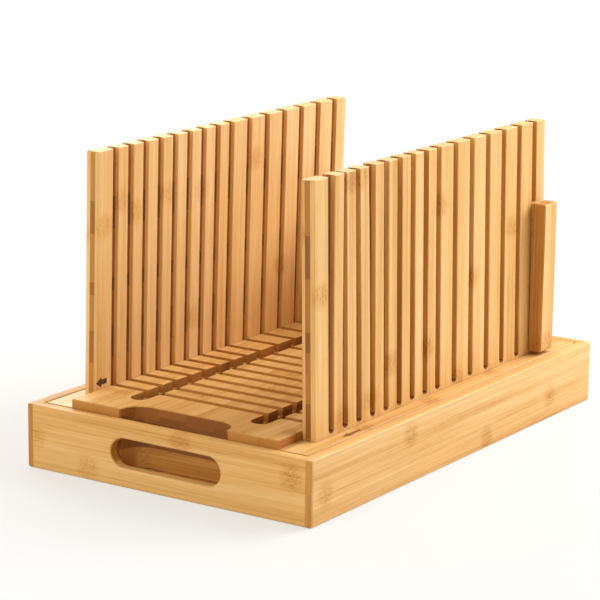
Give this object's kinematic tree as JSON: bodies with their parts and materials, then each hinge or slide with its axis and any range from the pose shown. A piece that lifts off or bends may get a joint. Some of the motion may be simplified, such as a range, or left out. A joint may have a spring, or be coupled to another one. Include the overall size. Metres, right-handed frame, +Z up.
{
  "type": "bread slicer guide",
  "caption": "Bread slicing guide with a crumb tray, a lift-out slicing base with cross grooves, upright slotted walls that lead the knife, and a drop-in loaf stop.",
  "frame": {"origin": "on the table, under the middle of the crumb tray", "axes": "+Z up, -Y the front where the loaf goes in, +X to the right seen from the front"},
  "size_m": [0.206, 0.337, 0.192],
  "materials": {
    "tray_bamboo": "oiled bamboo, horizontal grain, satin",
    "floor_bamboo": "thin bamboo ply, satin",
    "base_bamboo": "oiled bamboo, long grain, satin",
    "deck_bamboo": "oiled bamboo with dark end grain, satin",
    "wall_bamboo": "three-ply bamboo, upright grain, satin",
    "stop_bamboo": "oiled bamboo, satin",
    "dowel_beech": "fluted beech, matt",
    "brad_steel": "bright steel, dulled",
    "screw_steel": "zinc plated"
  },
  "bodies": {
    "tray": {"tray_front_panel": "tray_bamboo", "tray_rear_panel": "tray_bamboo", "tray_left_side": "tray_bamboo", "tray_right_side": "tray_bamboo", "tray_floor": "floor_bamboo", "tray_lip_brads": "brad_steel", "tray_face_brads": "brad_steel"},
    "slicing_base": {"base_left_rail": "base_bamboo", "base_right_rail": "base_bamboo", "base_front_rail": "base_bamboo", "base_rear_rail": "base_bamboo", "cutting_deck": "deck_bamboo", "deck_cross_bar_1": "base_bamboo", "deck_cross_bar_2": "base_bamboo", "deck_cross_bar_3": "base_bamboo", "frame_dowels": "dowel_beech", "bar_dowels": "dowel_beech", "bar_screws": "screw_steel", "ledge_screws": "screw_steel"},
    "right_wall": {"right_slotted_wall": "wall_bamboo"},
    "left_wall": {"left_slotted_wall": "wall_bamboo"},
    "loaf_stop": {"stop_panel": "stop_bamboo", "stop_left_batten": "stop_bamboo", "stop_right_batten": "stop_bamboo", "stop_brads": "brad_steel"}
  },
  "joints": [
    {"name": "base_lift", "type": "slide", "parent": "tray", "child": "slicing_base", "axis": [0, 0, 1], "range_m": [0, 0.06]},
    {"name": "right_wall_lift", "type": "slide", "parent": "slicing_base", "child": "right_wall", "axis": [0, 0, 1], "range_m": [0, 0.06]},
    {"name": "left_wall_lift", "type": "slide", "parent": "slicing_base", "child": "left_wall", "axis": [0, 0, 1], "range_m": [0, 0.06]},
    {"name": "stop_lift", "type": "slide", "parent": "right_wall", "child": "loaf_stop", "axis": [0, 0, 1], "range_m": [0, 0.155]}
  ],
  "couplings": [
    {"joint": "left_wall_lift", "follows": "right_wall_lift", "ratio": 1}
  ]
}
